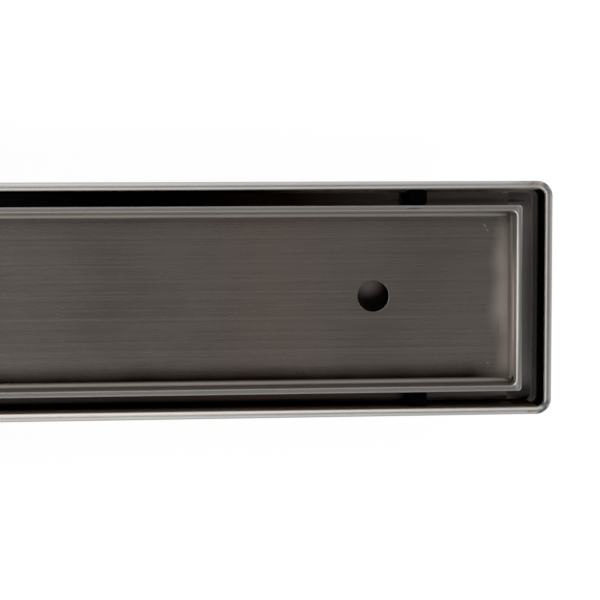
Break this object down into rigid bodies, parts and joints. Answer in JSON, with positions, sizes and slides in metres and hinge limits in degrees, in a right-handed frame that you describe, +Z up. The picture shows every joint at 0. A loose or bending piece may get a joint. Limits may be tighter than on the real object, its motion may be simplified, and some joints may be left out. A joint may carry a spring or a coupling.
{
  "type": "linear shower drain",
  "caption": "Long stainless steel shower channel with a folded rounded rim, a lift-out tile tray on black rubber feet, a lift hole and a round outlet spigot below.",
  "frame": {"origin": "centre of the outlet spigot's lower end, under the middle of the channel", "axes": "+X along the channel towards the end with the pictured lift hole, +Y across it, +Z up to the rim"},
  "size_m": [0.6, 0.1, 0.061],
  "materials": {
    "stainless": "brushed lengthwise",
    "rubber": "matt black"
  },
  "bodies": {
    "root": {"channel_trough": "stainless", "end_cap_right": "stainless", "end_cap_left": "stainless", "outlet_spigot": "stainless", "tile_tray": "stainless", "spacer_foot_left_back": "rubber", "spacer_foot_left_front": "rubber", "spacer_foot_middle_back": "rubber", "spacer_foot_middle_front": "rubber", "spacer_foot_right_back": "rubber", "spacer_foot_right_front": "rubber"}
  },
  "joints": []
}
